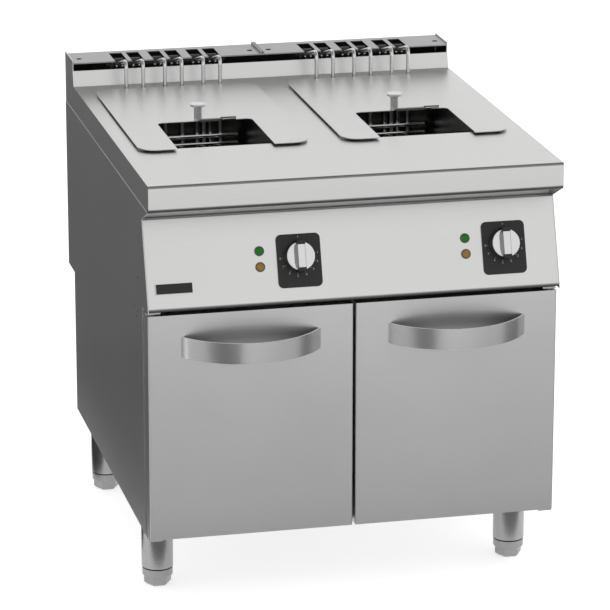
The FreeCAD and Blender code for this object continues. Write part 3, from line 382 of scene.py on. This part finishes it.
# Finishes of the sheets, bars and metal fittings
steel("satin_steel", SATIN, SATIN_ROUGHNESS, ALONG_X)
steel("door_steel", (0.71, 0.708, 0.702), 0.36, ALONG_X)
steel("side_steel", PLAIN, PLAIN_ROUGHNESS, ALONG_Z)
steel("cover_steel", (0.36, 0.36, 0.36), 0.36, ALONG_X)
steel("inner_steel", (0.55, 0.55, 0.56), 0.45, ALONG_X, cloud=0.2)
steel("element_steel", (0.80, 0.80, 0.80), 0.34, ALONG_Z, cloud=0.04)
steel("polished_steel", (0.80, 0.80, 0.80), 0.14, ALONG_Z, streak=0.05)
steel("leg_steel", (0.37, 0.37, 0.372), 0.28, ALONG_Z)
steel("foot_steel", (0.32, 0.32, 0.322), 0.30, ALONG_Z)
steel("dark_steel", (0.022, 0.022, 0.024), 0.55, ALONG_X, cloud=0.3, metallic=0.0)
steel("bar_steel", (0.95, 0.95, 0.95), 0.12, ALONG_X, streak=0.04, cloud=0.04)
# Darker silver of the knobs' grip cheeks: painted shade on the knob's own silver
steel("grip_steel", (0.34, 0.34, 0.34), 0.35, ALONG_X, streak=0.05, cloud=0.04)
steel("stem_steel", (0.74, 0.74, 0.735), 0.26, ALONG_Z, streak=0.05, metallic=0.55)
steel("brass", (0.72, 0.56, 0.28), 0.30, ALONG_Z, cloud=0.25)
# Painted light and shade on the folds of the control panel, worktop and rear panel
fascia_zones = [(recess_flange, 0.30, 1.0), (recess_upright, 0.95, 0.0), (panel_hem, 0.15, 1.0)]
sheet("fascia_steel", SATIN, SATIN_ROUGHNESS, ALONG_X, fascia_zones)
sheet("top_steel", SATIN, SATIN_ROUGHNESS, ALONG_X, [(under_lip, 0.17, 1.0), (nose, 0.30, 1.0)])
sheet("rear_steel", PLAIN, PLAIN_ROUGHNESS, ALONG_Z, [(behind_upstand, 0.012, 0.0)])
tank_finish()
handle_finish()

# Finishes of the plastics, lamps, knobs and print
plastic("black_plastic", (0.020, 0.020, 0.021), 0.42)
plastic("dark_trim", (0.10, 0.10, 0.09), 0.30)
plastic("grey_plastic", (0.42, 0.42, 0.43), 0.5)
plastic("white_plastic", (0.80, 0.80, 0.78), 0.5)
# Black with no shine: painted shade in the side panels' holes, and the black of the cover plugs and foot
# seals
plastic("dull_black", (0.006, 0.006, 0.006), 0.8, gloss=0.0)
plastic("print_ink", (0.50, 0.50, 0.50), 0.5)
lens_finish("green_lens", (0.006, 0.16, 0.010), (0.015, 0.28, 0.022))
lens_finish("amber_lens", (0.30, 0.16, 0.04), (0.48, 0.28, 0.09))
knob_finish()
knob_body_finish()

# CAD nodes that look different from the rest of their slot
OWN_FINISHES = {"control_panel": "fascia_steel", "worktop": "top_steel", "rear_panel": "rear_steel"}
for side in TANK_X:
    OWN_FINISHES[f"element_{side}_tie_bars"] = "bar_steel"
    OWN_FINISHES[f"lid_{side}_knob"] = "stem_steel"
    OWN_FINISHES[f"knob_{side}_body"] = "knob_body"
for foot in FOOT_PLACES:
    OWN_FINISHES[foot] = "foot_steel"

for part in frame["record"]["subparts"]:
    item = nodes[part["node"]]
    item.data.materials.clear()
    own_finish = OWN_FINISHES.get(part["node"], part["material_slot"])
    item.data.materials.append(materials[own_finish])
    for face in item.data.polygons:
        face.material_index = 0


def new_mesh(name, build):
    """Mesh of what a builder adds to an empty form, with its faces turned outwards."""
    mesh = bpy.data.meshes.new(name)
    form = bmesh.new()
    build(form)
    bmesh.ops.recalc_face_normals(form, faces=form.faces[:])
    form.to_mesh(mesh)
    form.free()
    return mesh


def evaluated_mesh(item):
    """Plain mesh of an object as its modifiers or its text make it."""
    bpy.context.view_layer.update()
    return bpy.data.meshes.new_from_object(item.evaluated_get(bpy.context.evaluated_depsgraph_get()))


def ridden(piece, body, finish):
    """A finished piece put on its body."""
    bpy.context.scene.collection.objects.link(piece)
    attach(piece, body)
    finish in RECORD_SLOTS


def single(name, body, finish, build):
    """One form in its place, riding on a body."""
    mesh = new_mesh(name, build)
    mesh.materials.append(materials[finish])
    ridden(bpy.data.objects.new(name, mesh), body, finish)


def copies_group():
    """Copies of one form on points, each turned to face its way and spun about that axis."""
    tree = bpy.data.node_groups.new("Copies", "GeometryNodeTree")
    ports = {}
    for label, kind in (("Geometry", "Geometry"), ("Form", "Object"), ("Finish", "Material")):
        port = tree.interface.new_socket(label, in_out="INPUT", socket_type="NodeSocket" + kind)
        ports[label] = port.identifier
    tree.interface.new_socket("Geometry", in_out="OUTPUT", socket_type="NodeSocketGeometry")
    make = tree.nodes.new
    source, sink = make("NodeGroupInput"), make("NodeGroupOutput")
    form, spread = make("GeometryNodeObjectInfo"), make("GeometryNodeInstanceOnPoints")
    facing, spin = make("GeometryNodeInputNamedAttribute"), make("GeometryNodeInputNamedAttribute")
    facing.data_type = "FLOAT_VECTOR"
    facing.inputs["Name"].default_value = "facing"
    spin.data_type = "FLOAT"
    spin.inputs["Name"].default_value = "spin"
    aim = make("FunctionNodeAlignRotationToVector")
    aim.axis = "Z"
    turn, whole = make("FunctionNodeAxisAngleToRotation"), make("FunctionNodeRotateRotation")
    turn.inputs["Axis"].default_value = (0, 0, 1)
    whole.rotation_space = "LOCAL"
    real, paint = make("GeometryNodeRealizeInstances"), make("GeometryNodeSetMaterial")
    link = tree.links.new
    link(source.outputs["Geometry"], spread.inputs["Points"])
    link(source.outputs["Form"], form.inputs["Object"])
    link(form.outputs["Geometry"], spread.inputs["Instance"])
    link(facing.outputs["Attribute"], aim.inputs["Vector"])
    link(spin.outputs["Attribute"], turn.inputs["Angle"])
    link(aim.outputs["Rotation"], whole.inputs["Rotation"])
    link(turn.outputs["Rotation"], whole.inputs["Rotate By"])
    link(whole.outputs["Rotation"], spread.inputs["Rotation"])
    link(spread.outputs["Instances"], real.inputs["Geometry"])
    link(real.outputs["Geometry"], paint.inputs["Geometry"])
    link(source.outputs["Finish"], paint.inputs["Material"])
    link(paint.outputs["Geometry"], sink.inputs["Geometry"])
    return tree, ports


COPIES, COPIES_PORTS = copies_group()


def copies(name, body, finish, build, spots):
    """One plain mesh of a form repeated at spots of (point, facing, spin), riding on a body."""
    form = bpy.data.objects.new(name + "_form", new_mesh(name + "_form", build))
    form.data.materials.append(materials[finish])
    points = bpy.data.meshes.new(name + "_points")
    points.from_pydata([spot[0] for spot in spots], [], [])
    points.attributes.new("facing", "FLOAT_VECTOR", "POINT")
    points.attributes.new("spin", "FLOAT", "POINT")
    for index, (_, way, angle) in enumerate(spots):
        points.attributes["facing"].data[index].vector = way
        points.attributes["spin"].data[index].value = angle
    carrier = bpy.data.objects.new(name + "_carrier", points)
    for item in (form, carrier):
        bpy.context.scene.collection.objects.link(item)
    modifier = carrier.modifiers.new("Copies", "NODES")
    modifier.node_group = COPIES
    modifier[COPIES_PORTS["Form"]] = form
    modifier[COPIES_PORTS["Finish"]] = materials[finish]
    mesh = evaluated_mesh(carrier)
    mesh.name = name
    for item in (form, carrier):
        data = item.data
        bpy.data.objects.remove(item)
        bpy.data.meshes.remove(data)
    ridden(bpy.data.objects.new(name, mesh), body, finish)


# Builders of forms

def bridge(form, near, far):
    """Side faces between two rings with as many points each."""
    for index in range(len(near)):
        after = (index + 1) % len(near)
        form.faces.new((near[index], near[after], far[after], far[index]))


def capped(form, rings):
    """Closed form along a row of rings."""
    for near, far in zip(rings, rings[1:]):
        bridge(form, near, far)
    for ring in (rings[0], rings[-1]):
        form.faces.new(ring)


def prism(form, outline, low, high):
    """Closed prism along x of an outline given in the other two axes."""
    capped(form, [[form.verts.new((x, *point)) for point in outline] for x in (low, high)])


def turned(profile, sides=24, ring=False):
    """Builder of a round form about z from (radius, height) points, closed on the axis or as a ring."""
    def build(form):
        turns = [2 * math.pi * index / sides for index in range(sides)]
        rings = []
        for radius, height in profile:
            around = turns if radius > 0 else turns[:1]
            rings.append([form.verts.new((radius * math.cos(turn), radius * math.sin(turn), height))
                          for turn in around])
        after_rings = rings[1:] + rings[:1] if ring else rings[1:]
        for low, high in zip(rings, after_rings):
            for index in range(sides):
                after = (index + 1) % sides
                corners = [low[index % len(low)], low[after % len(low)]]
                corners += [high[after % len(high)], high[index % len(high)]]
                form.faces.new(list(dict.fromkeys(corners)))
    return build


def cuboid(low, high, bevel=0.0):
    """Builder of a block between two corners, with its edges bevelled."""
    def build(form):
        bmesh.ops.create_cube(form, size=1.0)
        for vert in form.verts:
            vert.co = Vector([low[axis] if vert.co[axis] < 0 else high[axis] for axis in range(3)])
        if bevel:
            bmesh.ops.bevel(form, geom=form.edges[:], offset=bevel, segments=2, affect="EDGES")
    return build


def screw(radius, height):
    """Pan-head screw with a round recess in its face."""
    profile = [(0, 0), (radius, 0), (radius, height * 0.45), (radius * 0.8, height * 0.85)]
    recess = [(radius * 0.35, height), (radius * 0.30, height * 0.7), (0, height * 0.7)]
    return turned(profile + recess, 20)


def hex_nut(radius, height):
    """Hexagonal nut with the end of its stud."""
    nut = [(0, 0), (radius * 0.94, 0), (radius, height * 0.1), (radius, height * 0.85)]
    face = [(radius * 0.9, height), (radius * 0.55, height)]
    stud = [(radius * 0.5, height * 1.25), (0, height * 1.25)]
    return turned(nut + face + stud, 6)


# Dial scales: numerals with a stroke inside each, and a mark at the top
DIAL_FACE = 0.0020
PRINT = 0.0001
SCALE_RADIUS = 0.0365
SCALE_FIRST = math.radians(-81)
SCALE_STEP = math.radians(-26.5)
SCALE_NUMBERS = range(1, 9)
SCALE_ANGLES = [SCALE_FIRST + SCALE_STEP * index for index in range(len(SCALE_NUMBERS))]
NUMERAL_HEIGHT = 0.0062
STROKE_HALF = 0.0003
STROKE_FROM = 0.0312
STROKE_TO = 0.0330
MARK_RADIUS = 0.0010
MARK_RISE = 0.0375


def numeral(text):
    """Flat printed numeral as a mesh, centred on the origin."""
    curve = bpy.data.curves.new("numeral", "FONT")
    curve.body = text
    curve.size = NUMERAL_HEIGHT
    curve.align_x = "CENTER"
    curve.align_y = "CENTER"
    curve.resolution_u = 3
    curve.extrude = PRINT / 2
    item = bpy.data.objects.new("numeral", curve)
    bpy.context.scene.collection.objects.link(item)
    mesh = evaluated_mesh(item)
    bpy.data.objects.remove(item)
    bpy.data.curves.remove(curve)
    return mesh


def scale_numbers(form):
    """Numerals round the dial, from its right through its foot to its left."""
    for number, angle in zip(SCALE_NUMBERS, SCALE_ANGLES):
        shift = Vector((-math.sin(angle) * SCALE_RADIUS, math.cos(angle) * SCALE_RADIUS, PRINT / 2))
        mesh = numeral(str(number))
        mesh.transform(Matrix.Translation(shift))
        form.from_mesh(mesh)
        bpy.data.meshes.remove(mesh)
    bmesh.ops.remove_doubles(form, verts=form.verts[:], dist=1e-7)


stroke = cuboid((-STROKE_HALF, STROKE_FROM, 0), (STROKE_HALF, STROKE_TO, PRINT))
mark = turned([(0, 0), (MARK_RADIUS, 0), (MARK_RADIUS, PRINT), (0, PRINT)], 16)
for side, dial_x in DIAL_X.items():
    centre = on_fascia(dial_x, KNOB_DOWN, DIAL_FACE)
    fan = [(centre, FASCIA_OUT, angle) for angle in SCALE_ANGLES]
    copies(f"dial_strokes_{side}", "cabinet", "print_ink", stroke, fan)
    copies(f"dial_numbers_{side}", "cabinet", "print_ink", scale_numbers, [(centre, FASCIA_OUT, 0.0)])
    mark_spot = (centre - FASCIA_DOWN * MARK_RISE, FASCIA_OUT, 0.0)
    copies(f"dial_dot_{side}", "cabinet", "print_ink", mark, [mark_spot])


# Grips of the knobs

def grip_flanks(form):
    """Sloped cheeks along a knob's grip bar, wide on its left and narrow on its right."""
    bar, reach, brow, lean = 0.0068, 0.0215, GRIP_TOP - CAP_FACE - GRIP_STEP, 0.0004
    wide, narrow, shoulder, taper = 0.0130, 0.0078, reach * 0.6, 0.72
    for way, foot in ((-1, wide), (1, narrow)):
        rings = []
        for along, share in ((-reach, taper), (-shoulder, 1.0), (shoulder, 1.0), (reach, taper)):
            spread = bar + (foot - bar) * share
            rings.append([form.verts.new((way * across, along, rise))
                          for across, rise in ((bar, 0), (spread, 0), (bar + lean, brow))])
        capped(form, rings)


def grip_ends(form):
    """Black end caps of a knob's grip bar, flared towards the dial."""
    half, flare, inner, outer, slope = 0.0074, 0.0088, 0.0216, 0.0300, 0.0012
    low, high = -0.0120, GRIP_TOP - CAP_FACE + GRIP_STEP
    foot = [(-flare, inner), (flare, inner), (flare * 0.9, outer), (-flare * 0.9, outer)]
    head = [(-half, inner), (half, inner), (half, outer - slope), (-half, outer - slope)]
    for way in (-1, 1):
        capped(form, [[form.verts.new((x, way * y, z)) for x, y in ring]
                      for ring, z in ((foot, low), (head, high))])


# Grip cheeks in a darker silver that paints their shade, and black end caps
for side, dial_x in DIAL_X.items():
    spot = [(on_fascia(dial_x, KNOB_DOWN, CAP_FACE), FASCIA_OUT, 0.0)]
    copies(f"knob_{side}_flanks", f"knob_{side}", "grip_steel", grip_flanks, spot)
    copies(f"knob_{side}_ends", f"knob_{side}", "black_plastic", grip_ends, spot)

# Clamp nuts on the collars of the heating tubes, two in front of each leg
CLAMP_FRONT = 0.8566
CLAMP_RISE = 0.0325
NUT_SHIFT = 0.006
NUT_SPIN = 0.3
nut = hex_nut(radius=0.0028, height=0.0040)
for side, x in TANK_X.items():
    nut_spots = [(place(x + shift + offset, CLAMP_FRONT, CLAMP_RISE), FRONTWARD, NUT_SPIN + offset)
                 for shift in LEG_SHIFTS for offset in (-NUT_SHIFT, NUT_SHIFT)]
    copies(f"collar_nuts_{side}", f"element_{side}", "polished_steel", nut, nut_spots)

# Rubber plugs in the holes of the upstand covers
COVER_HOLES_X = (-0.38, -0.02, 0.02, 0.38)
COVER_HOLES_BACK = 0.870
PLUG_RISE = 0.0465
PLUG_RADIUS = 0.0059
PLUG_HEIGHT = 0.0023
PLUG_EDGE = [(PLUG_RADIUS, 0.0020), (0.0054, PLUG_HEIGHT)]
cover_plug = turned([(0, 0), (PLUG_RADIUS, 0), *PLUG_EDGE, (0, PLUG_HEIGHT)])
cover_spots = [(place(x, COVER_HOLES_BACK, PLUG_RISE), UP, 0.0) for x in COVER_HOLES_X]
copies("cover_plugs", "cabinet", "dull_black", cover_plug, cover_spots)

# Round collar over the hexagon of each foot, with a dark seal between it and the leg
COLLAR_BORE = 0.0232
COLLAR_RADIUS = 0.0300
COLLAR_FOOT = 0.0195
COLLAR_TOP = 0.0352
COLLAR_EDGE = [(0.0288, COLLAR_FOOT), (COLLAR_RADIUS, 0.0210)]
SEAL_RADIUS = 0.0297
SEAL_TOP = 0.0378
collar = turned([(COLLAR_BORE, COLLAR_FOOT), *COLLAR_EDGE, (COLLAR_RADIUS, COLLAR_TOP),
                 (COLLAR_BORE, COLLAR_TOP)], 48, ring=True)
seal = turned([(COLLAR_BORE, COLLAR_TOP), (SEAL_RADIUS, COLLAR_TOP), (SEAL_RADIUS, SEAL_TOP),
               (COLLAR_BORE, SEAL_TOP)], 48, ring=True)
for foot, middle in FOOT_PLACES.items():
    copies(f"{foot}_collar", foot, "foot_steel", collar, [(middle, UP, 0.0)])
    copies(f"{foot}_seal", foot, "dull_black", seal, [(middle, UP, 0.0)])

# Black pan-head forms of painted shade in the side panels' holes, at (back, drop), and the screws of the rear
# panel's two steps
SIDE_HOLES = ((0.115, 0.205), (0.117, 0.273), (0.156, 0.272), (0.135, 0.287), (0.820, 0.493))
side_spots = [(place(x, back, -drop), way, back) for way, x in ((LEFT, -SIDE_FACE), (RIGHT, SIDE_FACE))
              for back, drop in SIDE_HOLES]
# The side panels' holes are darkened with black forms as painted shade
copies("side_plugs", "cabinet", "dull_black", screw(radius=0.00295, height=0.0012), side_spots)
REAR_SCREWS_X = (-0.385, -0.13, 0.13, 0.385)
REAR_SCREW_ROWS = ((REAR_FACE, -0.030, 11), (REAR_FACE, 0.390, 11),
                   (LOWER_REAR_FACE, 0.430, 13), (LOWER_REAR_FACE, 0.690, 13))
rear_spots = [(place(x, back, -drop), BACK, x * twist) for x in REAR_SCREWS_X
              for back, drop, twist in REAR_SCREW_ROWS]
copies("rear_screws", "cabinet", "polished_steel", screw(radius=0.0045, height=0.0015), rear_spots)

# Hoods over the rear vents
VENTS_X = (-0.24, -0.08, 0.08, 0.24)
VENT_TOP = -0.1275
VENT_PITCH = 0.013
VENT_ROWS = 6


def hood(form):
    """Louvre pressed out of the rear panel: a leaning sheet with closed ends, open below."""
    half, reach, foot, brow, head, wall = 0.0375, 0.0014, -0.0034, 0.0019, 0.0045, 0.0005
    inner_side = [(head - 2 * wall, 0), (brow - wall, reach - wall), (foot, reach - wall)]
    prism(form, [(head, 0), (brow, reach), (foot, reach), *reversed(inner_side)], -half, half)
    for low in (-half, half - wall):
        prism(form, [*inner_side, (foot, 0)], low, low + wall)


hood_spots = [(place(x, REAR_FACE, VENT_TOP - row * VENT_PITCH), BACK, math.pi) for x in VENTS_X
              for row in range(VENT_ROWS)]
copies("vent_hoods", "cabinet", "side_steel", hood, hood_spots)

# Small block at the end of the notch in each lid, with a dark strip of painted shade that leads to it and the
# stop behind it.
# Each has its finish, two corners as (right of the tank's middle, back), its top and its bevel.
LID_SEAT = 0.0030
SHADE_STRIP_END = 0.0345
for side, shift in (("left", 0.0), ("right", 0.0155)):
    fittings = {"block": ("polished_steel", (0.036 + shift, 0.4605), (0.063 + shift, 0.4690), 0.0072, 0.0006),
                "rail": ("dark_trim", (-0.008, 0.4600), (SHADE_STRIP_END + shift, 0.4690), 0.0076, 0.0004),
                "stop": ("dark_trim", (SHADE_STRIP_END + shift, 0.4692), (0.0660 + shift, 0.4704), 0.0088, 0.0003)}
    for fitting, (finish, near, far, height, bevel) in fittings.items():
        near_corner = place(TANK_X[side] + near[0], near[1], LID_SEAT)
        far_corner = place(TANK_X[side] + far[0], far[1], height)
        single(f"lid_{side}_{fitting}", f"lid_{side}", finish, cuboid(near_corner, far_corner, bevel))

# Rim of the badge plate
BADGE_MIDDLE = on_fascia(-0.3475, 0.13225, 0.0016)


def badge_rim(form):
    """Narrow raised frame round the blank badge plate."""
    half_wide, half_tall, wide, tall = 0.0355, 0.01025, 0.0009, 0.0003
    corners = ((-1, -1), (1, -1), (1, 1), (-1, 1))
    outer = [(x * half_wide, y * half_tall) for x, y in corners]
    inner = [(x * (half_wide - wide), y * (half_tall - wide)) for x, y in corners]
    loops = [[form.verts.new((x, y, z)) for x, y in ring]
             for ring, z in ((outer, 0), (outer, tall), (inner, tall), (inner, 0))]
    for near, far in zip(loops, loops[1:] + loops[:1]):
        bridge(form, near, far)


copies("badge_rim", "cabinet", "satin_steel", badge_rim, [(BADGE_MIDDLE, FASCIA_OUT, 0.0)])


# Studio: a pale floor, grey cards, a white world and two soft lamps

def seen_directly(tree):
    """1 for rays from the camera and those that metal or glass sends on, 0 for light on the object."""
    start = Sock(tree)
    camera, glossy, through = (start.node("LightPath", f"Is {kind} Ray")
                               for kind in ("Camera", "Glossy", "Transmission"))
    return start.math("MAXIMUM", camera, start.math("MAXIMUM", glossy, through))


def stage_material(name, values):
    """Plain material of a stage object from the values of its principled shader."""
    material = bpy.data.materials.new(name)
    material.use_nodes = True
    shader = material.node_tree.nodes["Principled BSDF"]
    for socket, value in values.items():
        shader.inputs[socket].default_value = value
    return material, shader


def level(left, right, front, back, height):
    """Corners of a level rectangle."""
    return [(left, front, height), (right, front, height), (right, back, height), (left, back, height)]


def slab(name, corners, material):
    """Flat stage object."""
    mesh = bpy.data.meshes.new(name)
    mesh.from_pydata(corners, [], [range(len(corners))])
    mesh.materials.append(material)
    item = bpy.data.objects.new(name, mesh)
    bpy.context.scene.collection.objects.link(item)
    return item


def floor():
    """Pale floor that keeps the shadow and reads as white where it is lit."""
    reach, glow = 30, 0.62
    values = {"Base Color": (0.80, 0.80, 0.80, 1), "Roughness": 0.9, "Emission Strength": 1.0}
    material, shader = stage_material("floor_pale", values)
    seen = seen_directly(material.node_tree)
    seen.link(seen * glow, shader.inputs["Emission Color"])
    slab("floor", level(-reach, reach, -reach, reach, 0), material)


def card(name, corners, tone):
    """Grey studio card that only shows as a reflection in the metal."""
    values = {"Base Color": (0, 0, 0, 1), "Specular IOR Level": 0.0, "Emission Color": (1, 1, 1, 1),
              "Emission Strength": tone}
    item = slab(name, corners, stage_material(name, values)[0])
    item.visible_camera = False
    item.visible_diffuse = False
    item.visible_shadow = False
    item.visible_transmission = False


floor()
WALL_X = -2.6
WALL_FRONT = -0.6
WALL_BACK = 6.0
CEILING = 3.2
left_wall = [(WALL_X, WALL_FRONT, 0.0), (WALL_X, WALL_BACK, 0.0), (WALL_X, WALL_BACK, CEILING),
             (WALL_X, WALL_FRONT, CEILING)]
card("left_wall", left_wall, 0.17)
card("left_mat", level(-4.0, -0.46, -0.10, 1.3, 0.004), 0.088)
card("left_far_mat", level(-4.0, -0.46, 1.3, WALL_BACK, 0.004), 0.13)
card("camera_mat", level(-2.2, -0.55, -2.9, -1.4, 0.006), 0.0)
card("front_mat", level(-3.0, 3.0, -2.9, -0.40, 0.004), 0.45)
card("toe_mat", level(-0.9, 0.9, -0.66, -0.42, 0.005), 0.18)
card("right_mat", level(0.9, 3.0, -0.9, 2.0, 0.005), 0.14)
card("overhead", level(-2.5, 2.5, -2.0, 1.3, CEILING), 0.22)
TANK_CARD_HALF = 0.12
TANK_CARD_TOP = 0.846
for x in TANK_X.values():
    card("tank_card", level(x - TANK_CARD_HALF, x + TANK_CARD_HALF, 0.14, 0.31, TANK_CARD_TOP), 0.7)

AMBIENT = 0.75
world = bpy.data.worlds.new("studio")
bpy.context.scene.world = world
world.use_nodes = True
backdrop = world.node_tree.nodes["Background"]
backdrop.inputs["Color"].default_value = (1, 1, 1, 1)
shown = seen_directly(world.node_tree)
shown.link(shown * (1.0 - AMBIENT) + AMBIENT, backdrop.inputs["Strength"])


def soft_box(name, location, target, size, power):
    """Square area lamp aimed at a point, which doesn't show in the metal."""
    lamp = bpy.data.lights.new(name, "AREA")
    lamp.shape = "RECTANGLE"
    lamp.size = size
    lamp.size_y = size
    lamp.energy = power
    item = bpy.data.objects.new(name, lamp)
    item.location = location
    item.rotation_euler = (Vector(target) - Vector(location)).to_track_quat("-Z", "Y").to_euler()
    item.visible_glossy = False
    bpy.context.scene.collection.objects.link(item)


soft_box("key", (1.6, -3.2, 3.6), (0, 0, 0.6), size=2.2, power=16)
soft_box("overhead", (0, 0.4, 3.8), (0, 0, 0.8), size=3.0, power=10)

# Camera at the photograph's viewing angle
CAMERA_PLACE = (-1.54133, -6.64201, 2.51196)
CAMERA_PITCH = math.radians(73.31)
CAMERA_TURN = math.radians(-13.063)
camera_data = bpy.data.cameras.new("camera")
camera_data.sensor_width = 36
camera_data.lens = 208.94
camera = bpy.data.objects.new("camera", camera_data)
camera.location = CAMERA_PLACE
camera.rotation_euler = (CAMERA_PITCH, 0, CAMERA_TURN)
bpy.context.scene.collection.objects.link(camera)
bpy.context.scene.camera = camera
bpy.context.scene.view_settings.view_transform = "Standard"
